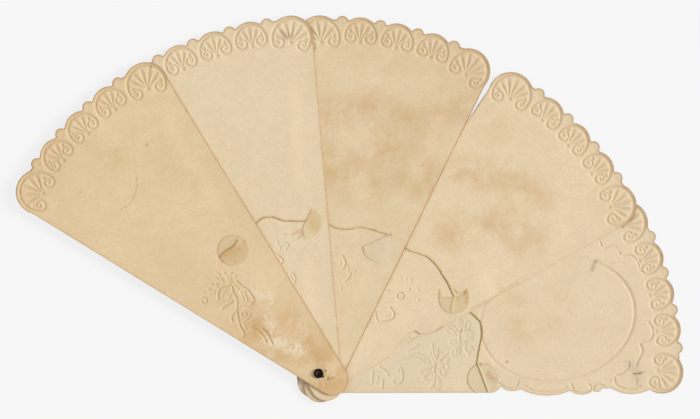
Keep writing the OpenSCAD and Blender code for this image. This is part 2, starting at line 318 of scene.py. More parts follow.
# A plate's outline is cut into steps and followed inward by rows of points. How far fine
# and near points spread beside a line, where a dent counts as flat, and how far the fine,
# near and coarse points keep from the outline.
EDGE_STEP = 0.5
EDGE_ROWS = (0.16, 0.34, 0.6, 1.0)
FINE_SPREAD, NEAR_SPREAD = 0.15, 1.0
FLAT = 1e-4
CLEAR = (0.12, 1.15, 1.4)


def inset(loop, depth):
    """The loop moved inward, or outward where the depth is negative."""
    ahead = np.roll(loop, -1, 0) - np.roll(loop, 1, 0)
    left = np.column_stack([-ahead[:, 1], ahead[:, 0]]) / np.linalg.norm(ahead, axis=1)[:, None]
    return loop + left * depth * np.sign(area(loop))


def plate(name, loops, strokes, top, thick, material, swell, fine=FINE):
    """A closed thin plate with its strokes pressed in from above.

    swell gives the height of its middle surface above its flat place."""
    edges = [resampled(loop, EDGE_STEP) for loop in loops]
    low, high = edges[0].min(0), edges[0].max(0)

    def dented(points, spread=0.0):
        return np.max([s.dent(points, spread) for s in strokes], 0)

    inner = []
    for step, spread in ((fine, FINE_SPREAD), (NEAR, NEAR_SPREAD), (COARSE, None)):
        p = lattice(low, high, step)
        inner.append(p if spread is None else p[dented(p, spread) > FLAT])
    inner[1] = inner[1][dented(inner[1], FINE_SPREAD) <= FLAT]
    inner[2] = inner[2][dented(inner[2], NEAR_SPREAD) <= FLAT]
    least = np.repeat(CLEAR, [len(p) for p in inner])
    for loop in edges:
        for depth in EDGE_ROWS:
            row = inset(loop, depth if loop is edges[0] else -depth)
            row = row[(nearest(row, loop)[0] > 0.93 * depth) & (dented(row, FINE_SPREAD) <= FLAT)]
            inner.append(row)
            least = np.append(least, np.full(len(row), CLEAR[0]))
    inner = np.concatenate(inner)
    keep = inside(inner, edges[0])
    for hole in edges[1:]:
        keep &= ~inside(inner, hole)
    inner, least = inner[keep], least[keep]
    margin = np.minimum.reduce([nearest(inner, loop)[0] for loop in edges])
    inner = inner[margin > least]

    points = np.concatenate(edges + [inner])
    rings = []
    first = 0
    for loop in edges:
        rings += [(first + i, first + (i + 1) % len(loop)) for i in range(len(loop))]
        first += len(loop)
    made = delaunay_2d_cdt([tuple(p) for p in points], rings, [], 0, 1e-6)
    flat = np.array([tuple(v) for v in made[0]])
    tri = np.array(made[2])
    middle = flat[tri].mean(1)
    keep = inside(middle, edges[0])
    for hole in edges[1:]:
        keep &= ~inside(middle, hole)
    tri = tri[keep]
    used, tri = np.unique(tri, return_inverse=True)
    tri = tri.reshape(-1, 3)
    flat = flat[used]
    a, b, c = flat[tri[:, 0]], flat[tri[:, 1]], flat[tri[:, 2]]
    turn = (b[:, 0] - a[:, 0]) * (c[:, 1] - a[:, 1]) - (b[:, 1] - a[:, 1]) * (c[:, 0] - a[:, 0])
    tri[turn < 0] = tri[turn < 0][:, ::-1]

    n = len(flat)
    ways = np.concatenate([tri[:, [0, 1]], tri[:, [1, 2]], tri[:, [2, 0]]])
    key, back = ways[:, 0] * n + ways[:, 1], ways[:, 1] * n + ways[:, 0]
    rim = ways[~np.isin(key, back)]
    dent = dented(flat)
    lift = swell(flat)
    upper = np.column_stack([flat, top - dent + lift])
    lower = np.column_stack([flat, top - thick - dent + lift])
    faces = tri.tolist() + (tri[:, ::-1] + n).tolist()
    faces += np.column_stack([rim[:, 1], rim[:, 0], rim[:, 0] + n, rim[:, 1] + n]).tolist()

    mesh = bpy.data.meshes.new(name)
    mesh.from_pydata((np.concatenate([upper, lower]) * MM).tolist(), [], faces)
    mesh.polygons.foreach_set("use_smooth", np.ones(len(faces), bool))
    pairs = np.zeros(len(mesh.edges) * 2, int)
    mesh.edges.foreach_get("vertices", pairs)
    pairs = np.sort(pairs.reshape(-1, 2), 1)
    corner = np.sort(rim, 1)
    corner = np.concatenate([corner, corner + n])
    sharp = np.isin(pairs[:, 0] * 2 * n + pairs[:, 1], corner[:, 0] * 2 * n + corner[:, 1])
    mesh.attributes.new("sharp_edge", "BOOLEAN", "EDGE").data.foreach_set("value", sharp)
    mesh.materials.append(material)
    made = bpy.data.objects.new(name, mesh)
    bpy.context.scene.collection.objects.link(made)
    away, way = nearest(flat, edges[0])
    return made, flat, away, way, dent


def mark(piece, name, values):
    """Stores a value for each point of a plate, the same above and below."""
    data = piece.data.attributes.new(name, "FLOAT", "POINT").data
    data.foreach_set("value", np.concatenate([values, values]).astype(np.float32))


class Shade:
    """A material's node tree, built up in calls."""

    def __init__(self, name):
        self.material = bpy.data.materials.new(name)
        self.material.use_nodes = True
        self.tree = self.material.node_tree
        self.shader = self.tree.nodes["Principled BSDF"]
        self.place = self.add("ShaderNodeTexCoord").outputs["Object"]

    def add(self, kind, **settings):
        node = self.tree.nodes.new(kind)
        for key, value in settings.items():
            setattr(node, key, value)
        return node

    def put(self, value, socket):
        if isinstance(value, bpy.types.NodeSocket):
            self.tree.links.new(value, socket)
        else:
            socket.default_value = value

    def noise(self, size, detail=3, rough=0.55):
        """Noise whose grain is that many millimetres."""
        node = self.add("ShaderNodeTexNoise")
        self.put(self.place, node.inputs["Vector"])
        node.inputs["Scale"].default_value = 1 / (size * MM)
        node.inputs["Detail"].default_value = detail
        node.inputs["Roughness"].default_value = rough
        return node.outputs["Fac"]

    def value(self, name):
        return self.add("ShaderNodeAttribute", attribute_name=name).outputs["Fac"]

    def span(self, value, low, high, to_low=0.0, to_high=1.0):
        node = self.add("ShaderNodeMapRange", interpolation_type="SMOOTHSTEP")
        self.put(value, node.inputs["Value"])
        for key, number in zip(("From Min", "From Max", "To Min", "To Max"), (low, high, to_low, to_high)):
            node.inputs[key].default_value = number
        return node.outputs["Result"]

    def math(self, operation, a, b=0.0):
        node = self.add("ShaderNodeMath", operation=operation)
        self.put(a, node.inputs[0])
        self.put(b, node.inputs[1])
        return node.outputs[0]

    def mix(self, share, a, b):
        node = self.add("ShaderNodeMix", data_type="RGBA")
        self.put(share, node.inputs[0])
        for value, socket in ((a, node.inputs[6]), (b, node.inputs[7])):
            self.put(colour(value) if isinstance(value, tuple) else value, socket)
        return node.outputs[2]

    def bump(self, height, strength, depth):
        node = self.add("ShaderNodeBump")
        node.inputs["Strength"].default_value = strength
        node.inputs["Distance"].default_value = depth * MM
        self.put(height, node.inputs["Height"])
        self.put(node.outputs["Normal"], self.shader.inputs["Normal"])


def colour(rgb):
    """An sRGB colour of 0 to 255 as linear light."""
    c = np.array(rgb[:3]) / 255
    linear = np.where(c <= 0.04045, c / 12.92, ((c + 0.055) / 1.055) ** 2.4)
    return (*linear, 1)


def card(name, base, dark, mottle):
    """Old card: mottled, fibrous, foxed, stained, toned where its edges were handled, with painted shade along shaded
    edges and seams and in its hollows.
    """
    s = Shade(name)
    cloud = s.span(s.noise(20, 5, 0.65), 0.3, 0.72)
    tone = s.mix(s.math("MULTIPLY", cloud, mottle), base, dark)
    patch = s.span(s.noise(3.2, 5, 0.7), 0.32, 0.7)
    tone = s.mix(s.math("MULTIPLY", patch, 0.2), tone, dark)
    grain = s.span(s.noise(0.7, 4, 0.75), 0.3, 0.72)
    tone = s.mix(s.math("MULTIPLY", grain, 0.42), tone, dark)
    foxed = s.math("MULTIPLY", s.value("foxed"), s.span(s.noise(8, 6, 0.7), 0.3, 0.68))
    tone = s.mix(foxed, tone, (205, 168, 116))
    rubbed = s.math("MULTIPLY", s.value("pale"), s.span(s.noise(2.2, 6, 0.8), 0.42, 0.56))
    tone = s.mix(rubbed, tone, (238, 222, 194))
    tone = s.mix(s.value("cool"), tone, (216, 204, 176))
    fleck = s.span(s.noise(0.5, 2, 0.5), 0.76, 0.82)
    tone = s.mix(s.math("MULTIPLY", fleck, 0.3), tone, (158, 122, 78))
    fox = s.math("MULTIPLY", s.span(s.noise(2.2, 2, 0.5), 0.72, 0.8), s.span(s.noise(30), 0.45, 0.62))
    tone = s.mix(s.math("MULTIPLY", fox, 0.4), tone, (176, 130, 74))
    # Unevenness for the edge toning and the painted edge shade.
    uneven = s.span(s.noise(3, 5, 0.7), 0.3, 0.7, 0.6, 1)
    # Toning of the edges, together with painted shade of the seams and of tab rims facing away from the light.
    tone = s.mix(s.math("MULTIPLY", s.value("toned_and_shaded"), uneven), tone, (180, 136, 80))
    # Painted shade in dark brown on edges facing away from the light, with a little grime on the rest.
    tone = s.mix(s.math("MULTIPLY", s.value("grime_and_shade"), uneven), tone, (116, 86, 54))
    # Painted shade in the embossed hollows, and beside a tab's ridge on its unlit side.
    tone = s.mix(s.value("hollow_shade"), tone, (188, 154, 104))
    blotch = s.span(s.noise(0.7, 3, 0.6), 0.3, 0.6, 0.6, 1)
    tone = s.mix(s.math("MULTIPLY", s.value("brown"), blotch), tone, (184, 128, 62))
    tone = s.mix(s.math("MULTIPLY", s.value("dark"), blotch), tone, (72, 56, 38))
    s.put(tone, s.shader.inputs["Base Color"])
    s.put(s.span(s.noise(3), 0.3, 0.7, 0.78, 0.94), s.shader.inputs["Roughness"])
    s.shader.inputs["Specular IOR Level"].default_value = 0.25
    s.bump(s.noise(0.5, 5, 0.75), 0.5, 0.06)
    return s.material


# A slit closes on its thread: it is an opening below this area, and shrinks to this share.
SLIT_AREA, SLIT_SHARE = 1.6, 0.35
# Where the light comes from: edges that face away from it get painted shade, over a little grime on every edge.
LIGHT_FROM = np.array([1.0, 0.1])
CARD_TONES = {
    1: ((235, 211, 173), (208, 178, 134), 0.3),
    2: ((236, 216, 183), (210, 185, 148), 0.18),
    3: ((234, 213, 179), (208, 181, 141), 0.33),
    4: ((238, 217, 184), (210, 184, 146), 0.2),
    5: ((237, 217, 184), (209, 185, 149), 0.2),
}
# How dark each leaf's right edge is drawn on the next leaf: real toning together with the painted shade of the seam.
RIGHT_TONE_AND_SHADE = {1: 0.75, 2: 0.5, 3: 1.1, 4: 0.06, 5: 0.5}
SAG, SAG_FROM, SAG_FULL = 0.24, 10.5, 5.5
SAG_RADII = ((6, 14), (36, 41), (61, 66), (96, 101))
COCKLE, COVER_COCKLE = 0.03, 0.008
# The border's tone begins and is full at these radii of the border's arc.
BORDER_TONE = (107, 112)
SMALL_STAIN, SMALL_DEEP = 6, 0.0004


def eased(value, low, high):
    t = np.clip((value - low) / (high - low), 0, 1)
    return t * t * (3 - 2 * t)


def cockle(k):
    """How leaf k has cockled, above and below its flat place, and sags by its right side
    onto the next leaf, except where that leaf's tab, thread, border or eyelet comes."""
    high = COVER_COCKLE if k == LEAVES else COCKLE
    side = math.radians(SIDE_A)

    def lift(p):
        wave = high * np.sin(p[:, 0] / 9 + k) * np.sin(p[:, 1] / 11 + 2 * k)
        if k == LEAVES:
            return wave
        x, y = (turned(p, -LEAF_ANGLE[k]) + HOLE_AT[k]).T
        away = y * math.cos(side) + x * math.sin(side) + HUB_HW * math.cos(side)
        r = np.hypot(*p.T)
        on, off, again, end = (eased(r, *radii) for radii in SAG_RADII)
        low = on - off + again - end
        return wave * (1 - low) - SAG * low * eased(-away, -SAG_FROM, -SAG_FULL)

    return lift


def stain(piece, flat, marks, dark=0):
    """Stores the kinds of mark, stains and some painted shade: points in pixels, half width and strength; dark is a
    base for the dark marks, which a tab uses for painted shade beside its ridge.
    """
    for kind in ("brown", "dark", "cool", "pale", "foxed"):
        value = np.zeros(len(flat)) + (dark if kind == "dark" else 0)
        for points, half, much in marks.get(kind, ()):
            line = Stroke(seen(points), half / PX_PER_MM, much)
            value = np.maximum(value, line.dent(flat))
        mark(piece, kind, np.clip(value, 0, 1))


def fine_places(marks):
    """Lines of no real depth, which give the mesh enough points for its small stains."""
    return [Stroke(seen(points), half / PX_PER_MM, SMALL_DEEP)
            for rows in marks.values() for points, half, much in rows if half < SMALL_STAIN]


def make_leaf(k):
    loops = outline_loops(f"leaf_{k}", leaf_top(k), CARD_T)
    loops[1:] = [p if abs(area(p)) > SLIT_AREA else p.mean(0) + (p - p.mean(0)) * SLIT_SHARE
                 for p in loops[1:]]
    strokes = [s.moved(lambda p: arc_to_fan(k, p)) for s in border_strokes(k)]
    strokes += [Stroke(curve(seen(points)), half / PX_PER_MM, SPRAY_GAIN * deep)
                for points, half, deep in SPRAYS[k]]
    material = card(f"card_{k}", *CARD_TONES[k])
    marks = STAINS[k]
    piece, flat, away, way, dent = plate(
        f"card_leaf_{k}", loops, strokes + fine_places(marks), leaf_top(k), CARD_T, material, cockle(k),
        FINE_COVER if k == LEAVES else FINE)
    lit = way @ LIGHT_FROM
    x, y = (turned(flat, -LEAF_ANGLE[k]) + HOLE_AT[k]).T
    border = eased(np.hypot(x, y), *BORDER_TONE)
    side = (1 - border) * np.where(y < 0, RIGHT_TONE_AND_SHADE[k], 0.5)
    toned_and_shaded = np.exp(-((away / (0.3 + 0.16 * border)) ** 2)) * (side + border * (0.87 + 0.1 * lit))
    toned_and_shaded += (0.08 + 0.06 * border) * np.exp(-away / 1.5)
    mark(piece, "toned_and_shaded", np.clip(toned_and_shaded, 0, 1))
    # Painted shade: a dark line along the edges that face away from the light, with a little grime on every edge.
    grime_and_shade = np.exp(-((away / 0.24) ** 2)) * np.clip(-lit, 0.1, 1)
    mark(piece, "grime_and_shade", grime_and_shade * (0.35 + 0.35 * border))
    # Painted shade: the embossed grooves are darker the deeper they are.
    mark(piece, "hollow_shade", np.clip(dent / RIM_DEEP, 0, 1) * 0.3)
    stain(piece, flat, marks)
    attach(piece, f"leaf_{k}")
    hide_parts(f"leaf_{k}")


def ring(x, y, r):
    return [(x + r * math.cos(a), y + r * math.sin(a)) for a in np.linspace(0, 2 * math.pi, 13)]


def lens(x, y, degrees, near, far, wide):
    """The outline of a petal that points away from a place in the photograph."""
    u = np.array([math.cos(math.radians(degrees)), math.sin(math.radians(degrees))])
    v = np.array([-u[1], u[0]]) * wide
    long = far - near
    sides = [(0, 0), (0.35, 0.75), (0.7, 1), (1, 0), (0.7, -1), (0.35, -0.75), (0, 0)]
    return [tuple((x, y) + u * (near + long * a) + v * b) for a, b in sides]


FLOWER_A = [(lens(434.5, 366, turn, near, far, wide), 1.8, 0.07) for turn, near, far, wide in (
    (-95, 5, 18, 3), (-60, 5, 15, 3), (-28, 5, 15, 3), (5, 5, 14, 2.6), (42, 5, 14, 2.6),
    (84, 8, 25, 3.6), (118, 6, 17, 3), (152, 5, 16, 3), (-152, 5, 13, 2.4))]
FLOWER_B = [(lens(462, 339, turn, near, far, wide), 1.7, 0.068) for turn, near, far, wide in (
    (-97, 8, 20, 2.6), (-70, 7, 19, 2.4), (-30, 4, 12, 2.2), (62, 5, 16, 2.6), (120, 6, 19, 2.8),
    (-148, 7, 19, 2.4), (160, 6, 13, 2.2))]

# The embossed sprays of flowers: points in pixels, half width in pixels, depth.
SPRAYS = {
    1: [
        (ring(204.1, 300.3, 2.9), 1.3, 0.13), ([(204.1, 300.3)], 1.0, 0.1),
        ([(216.5, 272.5), (218.6, 273.5), (219.8, 276)], 1.1, 0.14),
        ([(223.5, 272), (225.2, 273.4)], 1.2, 0.14),
        ([(231.8, 272.5), (230, 274.6)], 1.1, 0.14),
        ([(213.8, 278.3), (215.8, 277.6), (217.6, 279.4)], 1.1, 0.13),
        ([(220.6, 279.3), (222.6, 279.6), (223.4, 281.6)], 1.1, 0.13),
        ([(211.5, 284.3), (213.8, 285)], 1.2, 0.14),
        ([(208.4, 289.4), (210.6, 289.8)], 1.2, 0.13), ([(236.5, 275.5), (234.4, 277.4)], 1.1, 0.12),
        ([(213.4, 291.4), (215, 293.6)], 1.1, 0.12), ([(227.5, 276.8), (228.6, 279.6)], 1.1, 0.12),
        ([(238, 284.8), (242.6, 290), (246, 296), (247.6, 301)], 1.1, 0.11),
        ([(240.2, 291), (242.6, 296), (243.4, 301)], 1.1, 0.1),
        ([(226, 290.5), (223.5, 293), (222.6, 297)], 1.1, 0.11),
        ([(218.4, 299), (218, 294), (219.6, 289.4), (223, 286.6), (227.3, 286.2), (230.1, 284.1)], 1.6, 0.16),
        ([(228.7, 281.7), (234.3, 283.4), (238.5, 289)], 1.4, 0.13),
        ([(236.4, 281.3), (244.1, 287.6), (248.3, 290.4), (251.8, 296), (253.9, 300.3), (251.1, 303.8)], 1.8, 0.17),
        ([(250.1, 301.7)], 1.3, 0.14),
        ([(244.1, 288.3), (245.2, 292.5)], 1.3, 0.12),
        ([(232.2, 286.9), (233.2, 292.5), (236.4, 298.2), (237.1, 305.2), (237.1, 311.5), (238.5, 319.9),
          (240.6, 326.9), (244.1, 333.2), (242.7, 336.8)], 1.8, 0.15),
        ([(228.7, 298.2), (231.5, 294)], 1.2, 0.1),
        ([(222, 308.9), (224.5, 306.2), (227.3, 304.5), (232.5, 301.3)], 1.7, 0.16),
        ([(235, 311.5), (231.5, 317.1), (232.9, 321.3)], 1.6, 0.16),
        ([(239.9, 305.9), (244.1, 305.9), (251.1, 308)], 1.3, 0.1),
        (ring(244.1, 314.3, 2.4), 1.4, 0.15),
        ([(246.9, 323.4), (253.2, 320.6), (262.4, 318.3)], 1.7, 0.13),
        ([(249, 326), (255, 324), (263.5, 319)], 1.2, 0.1),
        ([(244.1, 321.3), (248.3, 317.8), (250.4, 314.3)], 1.4, 0.13),
        ([(243.4, 322.7), (246.9, 328.5)], 1.4, 0.16),
        ([(248.3, 326.9), (255.4, 329), (261, 333.2), (264.5, 338.2), (265.9, 342.4)], 1.5, 0.13),
        ([(262.4, 329), (265.9, 331.8), (268.7, 336.1), (270.8, 340.3), (272.5, 344)], 1.8, 0.18),
        ([(216.4, 283), (217.3, 287.6)], 1.1, 0.1),
        ([(231.3, 278), (230.3, 281)], 1.2, 0.12),
        ([(204.8, 293.6)], 1.3, 0.1), ([(210.1, 294.3)], 1.3, 0.1),
        ([(313, 377), (308.5, 380.5)], 0.9, 0.06), ([(315.5, 379.5), (312.5, 384.5)], 0.9, 0.06),
        ([(319, 380.5), (319.5, 385.5)], 0.9, 0.06), ([(323, 380.5), (325.5, 384.5)], 0.9, 0.06),
    ],
    2: [
        ([(277.4, 241.5), (277.6, 244.3)], 1.2, 0.1), ([(280.1, 247), (279.8, 250)], 1.2, 0.1),
        ([(284.7, 242.9), (287.7, 243.5), (288.3, 245.9), (285.6, 248.9)], 1.3, 0.1),
        ([(278, 255.9), (281.1, 258), (282.6, 260.5), (281.4, 263.5)], 1.6, 0.15),
        ([(291.4, 272.6), (294.4, 275.6), (295.4, 279.2), (294.2, 282.9)], 1.4, 0.15),
        ([(290.3, 275.5), (293.2, 280.5)], 1.2, 0.12),
    ],
    3: [
        ([(342.3, 256.2), (345, 261), (344.5, 266.5), (342.4, 268.6)], 1.5, 0.16),
        ([(340.5, 261.7), (339.8, 264.1)], 1.1, 0.08), ([(341, 286.5), (341, 290.8)], 1.2, 0.08),
        ([(350.5, 273), (348.3, 278), (344.7, 281.2)], 1.5, 0.14),
        ([(347.7, 265.5), (348.6, 271.4)], 1.2, 0.12),
    ],
    4: [
        (ring(399.9, 296, 3.3), 1.6, 0.16), ([(399.9, 296)], 1.0, 0.14),
        ([(409.1, 288.4), (409.1, 290)], 1.3, 0.12), ([(418, 289), (418, 290.3)], 1.2, 0.1),
        ([(418.3, 299.3), (418.3, 300.5)], 1.3, 0.12), ([(427.9, 302.7)], 1.2, 0.1),
        ([(400.8, 277.5), (400.8, 281)], 1.1, 0.08), ([(405.9, 277.5), (406.3, 280)], 1.1, 0.08),
        ([(411, 279), (411.4, 284)], 1.1, 0.08),
        ([(375.3, 312.3), (376.6, 319.3), (379.8, 322.5)], 1.3, 0.12),
        ([(389.3, 307.2), (393.4, 312.3), (392.8, 317.4), (387.4, 320.3), (382, 321)], 1.7, 0.17),
        ([(390, 311.6), (388.5, 315.5), (385, 317)], 1.1, 0.1),
    ],
    5: FLOWER_A + FLOWER_B + [
        ([(600, 242), (601, 246)], 1.4, 0.15), ([(603.5, 248.3), (610, 246), (616, 246)], 1.4, 0.14),
        ([(618.5, 252), (620, 254)], 1.4, 0.15),
        ([(623, 256), (629, 255), (634, 258), (638, 264), (640, 272)], 1.5, 0.14),
        ([(648, 322), (652, 328), (652, 336), (648, 341), (642, 342)], 1.6, 0.14),
        ([(640, 344), (642, 352), (638, 360), (636, 365)], 1.8, 0.17),
        ([(629, 362), (628, 368), (625, 370.5), (621, 374), (616, 375)], 1.7, 0.16),
        ([(614, 377), (615.5, 384), (621, 387.5), (628, 389.5), (634, 388.5), (640, 386)], 1.6, 0.15),
        ([(498, 383), (505, 387), (513, 388), (517, 385), (518, 381)], 1.4, 0.12),
        ([(523, 385), (532, 390), (545, 392), (558, 391), (567, 387)], 1.2, 0.1),
        ([(571, 384), (574, 391), (581, 392.5), (588, 391), (591, 387), (588, 384)], 1.4, 0.14),
        ([(593, 391), (594, 386), (598, 384), (603, 385.5)], 1.4, 0.15),
        ([(372.7, 371.1), (371.7, 382.4)], 1.4, 0.12), ([(382.5, 380), (381.8, 388.7)], 1.4, 0.13),
        ([(374.1, 383), (376.9, 382.4), (377.6, 376)], 1.1, 0.08),
        ([(379, 366.9), (385.4, 371.1), (388.2, 376)], 1.4, 0.12),
        ([(400.1, 367.6), (402.2, 371.1), (402.2, 378.2), (400.1, 382.4), (395.9, 384.5), (392.4, 381.7)], 1.4, 0.13),
        ([(394.1, 380.3)], 1.2, 0.13), ([(397.5, 369), (398.6, 371.6)], 1.2, 0.1),
        ([(406.4, 343), (413.4, 338.2), (416.9, 336)], 1.4, 0.14),
        ([(408.5, 350), (414.1, 347.4), (418.3, 344.5)], 1.4, 0.12),
        ([(404.3, 341), (409.9, 336.8)], 1.1, 0.1),
        ([(400.8, 359.6), (408.5, 357.1), (415.5, 357.1), (421.1, 359.9)], 1.2, 0.09),
        ([(408.5, 354.3), (416.2, 353.2), (423.2, 356.4)], 1.2, 0.09),
        ([(432.4, 344.5), (433.1, 351.5), (435.2, 357.8)], 1.4, 0.13),
        ([(438, 348.7), (437.3, 354.3), (436.2, 358.5)], 1.3, 0.12),
        ([(447.8, 352.9), (442.9, 357.1), (439.4, 360.6)], 1.4, 0.13),
        ([(448.5, 358.5), (445, 362.7), (441.5, 364.8)], 1.3, 0.12),
        ([(435.2, 363.4), (434.1, 368.3), (434.5, 373.2)], 1.6, 0.15),
        ([(441.5, 365.5), (444.3, 369)], 1.3, 0.1),
        ([(423.2, 370.4), (428.2, 368.3), (432.4, 366.2)], 1.3, 0.11),
        ([(430.3, 373.2), (425.3, 374.6), (423.2, 378.2), (425.3, 380.6)], 1.3, 0.12),
        ([(434.5, 376.8), (434.5, 382.4), (431, 387.3)], 1.4, 0.13), ([(438, 380.3), (438, 388)], 1.2, 0.1),
        ([(459.7, 319.9), (461.1, 329)], 1.3, 0.11), ([(466.1, 320.6), (464.6, 328.3)], 1.3, 0.11),
        ([(459, 333.2), (459.7, 343.1)], 1.5, 0.13), ([(469.6, 334.6), (472.4, 332.5)], 1.2, 0.1),
        ([(468.2, 339.6), (472.4, 338.2)], 1.2, 0.1),
        ([(462.5, 344.5), (456.9, 348), (455.5, 352.9)], 1.4, 0.12),
        ([(460.4, 348), (459, 354.3)], 1.2, 0.1),
        ([(465.4, 345.2), (466.1, 350.1), (468.9, 355)], 1.4, 0.12),
        ([(470.3, 345.2), (473.1, 350.1)], 1.2, 0.1),
        ([(447.1, 326.9), (452.7, 325.5), (456.9, 330.4)], 1.3, 0.1),
    ],
}

# Stains, rubbed places and some painted shade: points in pixels, half width in pixels, strength.
STAINS = {
    1: {
        "brown": [([(147, 145)], 2, 0.6), ([(81, 192)], 2, 0.4), ([(186.8, 111)], 1.8, 0.8),
                  ([(222.5, 261.4)], 1.8, 0.9), ([(324.4, 374.3)], 1.6, 0.9)],
        "foxed": [([(98, 152), (112, 158)], 22, 0.5), ([(36, 190), (60, 150)], 28, 0.25),
                  ([(228, 292), (255, 300)], 28, 0.35), ([(262, 325), (300, 345), (330, 380)], 44, 0.95),
                  ([(170, 160), (190, 175)], 34, 0.25)],
        "dark": [([(121, 209), (130, 205), (135, 195), (138, 185), (137, 177)], 1.0, 0.28),
                 ([(20.5, 207), (17, 199), (16.4, 190), (18.4, 181), (24, 174), (31, 170.5)], 1.0, 0.5),
                 ([(150.5, 67), (151.8, 67.3)], 1.4, 0.6), ([(325, 369.8), (325.7, 371)], 1.6, 0.7),
                 ([(328.6, 377.6), (327.8, 379.2)], 1.6, 0.6), ([(331.8, 378), (333.2, 377.4)], 1.6, 0.5)],
        "pale": [([(266, 306), (270, 322), (278, 345)], 9, 0.7),
                 ([(272, 340), (288, 346), (302, 350)], 12, 0.85),
                 ([(250, 284), (270, 300)], 12, 0.5), ([(272, 352), (262, 366)], 7, 0.4),
                 ([(300, 322), (304, 334)], 6, 0.5)],
    },
    2: {
        "brown": [([(293.2, 234.3), (296.2, 232.6), (299, 229.5)], 2.2, 0.4),
                  ([(301, 230.5), (301.2, 236), (298.4, 237.6)], 2.6, 0.35), ([(286, 234.6)], 2.4, 0.35)],
        "dark": [([(282.5, 33), (285.5, 38), (291, 36)], 4.5, 0.3)],
        "cool": [([(298, 202), (303, 200)], 8, 0.25), ([(282, 245)], 12, 0.2)],
    },
    3: {
        "brown": [([(390.8, 234.7)], 1.8, 0.9)],
        "dark": [([(386.4, 235.5), (388.2, 234.8)], 1.1, 0.4), ([(422, 166)], 1.5, 0.5)],
        "foxed": [([(330, 112), (380, 108), (405, 118)], 28, 0.66), ([(388, 150), (425, 175)], 40, 0.8),
                  ([(330, 165), (365, 182)], 36, 0.75), ([(425, 120), (462, 100)], 34, 0.6),
                  ([(350, 45), (460, 70)], 36, 0.18)],
    },
    4: {
        "brown": [([(389, 290.4)], 1.9, 0.5), ([(439.4, 290), (439.6, 293)], 2, 0.4),
                  ([(454, 289.4), (457.5, 293.2), (461, 293)], 1.8, 0.45),
                  ([(463, 292.6), (466.5, 289.4)], 1.8, 0.55),
                  ([(471.4, 308.1), (488, 300.7), (506.2, 289.1), (517.8, 282.4)], 2.2, 0.2),
                  ([(388.2, 358.5), (376, 366), (366, 372)], 2.2, 0.4),
                  ([(435.2, 331.1), (442.2, 326.9)], 1.8, 0.6)],
        "dark": [([(415.2, 331.3), (418.3, 334.4), (423.2, 335.4), (427, 334.6)], 1.1, 0.6),
                 # Painted shade: leaf 4's shaded cut edge along the gap beside leaf 3.
                 ([(471.5, 114), (478.5, 104.5), (486.5, 91), (491.5, 83)], 1.3, 0.75)],
        "foxed": [([(462, 172), (500, 178), (535, 200)], 30, 0.58), ([(515, 195), (530, 225)], 34, 0.58),
                  ([(450, 232), (500, 225), (525, 245)], 28, 0.6), ([(490, 130)], 30, 0.3)],
    },
    5: {
        "brown": [([(634, 374), (641, 373)], 2, 0.6), ([(637.2, 376), (637, 385)], 1.5, 0.2),
                  ([(507, 362)], 2, 0.95), ([(461, 331)], 2, 0.95), ([(469.6, 330)], 1.8, 0.8),
                  ([(466.4, 341.2)], 1.7, 0.8), ([(611, 380)], 2, 0.5), ([(595, 331), (602, 329)], 3, 0.12),
                  ([(606, 272)], 1.6, 0.3)],
        "dark": [([(634.7, 373.7)], 1.4, 0.9), ([(640, 373.4)], 1.3, 0.9),
                 ([(635, 373.6), (644, 371.8)], 0.9, 0.5),
                 ([(637.3, 379.6), (637, 384)], 1.3, 0.35),
                 ([(628.3, 364.5)], 1.5, 0.5), ([(633, 366), (638, 376)], 9, 0.15),
                 ([(626, 362), (631, 367)], 5, 0.12),
                 ([(596.6, 260), (594.4, 265), (592, 270.6)], 1.5, 0.4),
                 ([(594.6, 260.6), (592.6, 264.6)], 1.2, 0.35),
                 ([(595.6, 261.6), (592.2, 269.6)], 3.2, 0.26),
                 ([(590, 264), (590.2, 275)], 1.3, 0.14), ([(562, 255), (565, 255)], 1.6, 0.6),
                 ([(504, 290.6), (507, 289.4)], 1.5, 0.4)],
        "cool": [([(385, 375), (420, 350), (455, 335)], 44, 0.35), ([(632, 366), (642, 384)], 12, 0.3),
                 ([(500, 375), (515, 380)], 12, 0.25)],
        "foxed": [([(512, 305), (518, 335)], 24, 0.34), ([(545, 320)], 28, 0.34), ([(560, 295)], 24, 0.25)],
    },
}

# The tabs: middles in pixels, and the tears, each listed so that the tab's own round
# edge, counterclockwise in the fan's frame, closes its outline.
TAB_R = 5.1
TAB_T = 0.12
TAB_MIDDLE = {1: (233.4, 250.1), 2: (306.1, 223.1), 3: (378, 246.5), 4: (454, 298.5), 5: (482.5, 378.5)}
TEARS = {
    2: [(312.5, 206), (311.5, 208.4), (309.8, 212.4), (307.4, 216.7), (306, 220.2), (304.3, 223.5),
        (303.1, 226.6), (302.3, 229.4), (302.8, 232.2), (303.4, 235.1), (304.7, 237.6), (305, 239)],
    3: [(389, 234.8), (384.6, 236.3), (380, 238.8), (375.6, 240.3), (371.5, 242.5), (368, 243.6),
        (364.6, 245.5), (362.4, 246.3)],
    4: [(468, 289), (466.2, 289.8), (465.7, 291.8), (463.4, 294.5), (459, 295.7), (454.2, 296.5),
        (450.4, 296.8), (446, 297.3), (442.6, 297.6), (441.3, 295.4), (440.6, 291.6)],
}
RIDGES = {
    1: [(220.8, 257.6), (223.5, 253.8), (227.3, 250.7), (231.8, 248.1), (235.2, 245.1), (239, 240.4)],
    4: [(453.9, 297.5), (452.6, 304), (451.6, 311)],
    5: [(477.4, 364.2), (481.7, 374.2), (485, 383.5), (488.2, 392)],
}
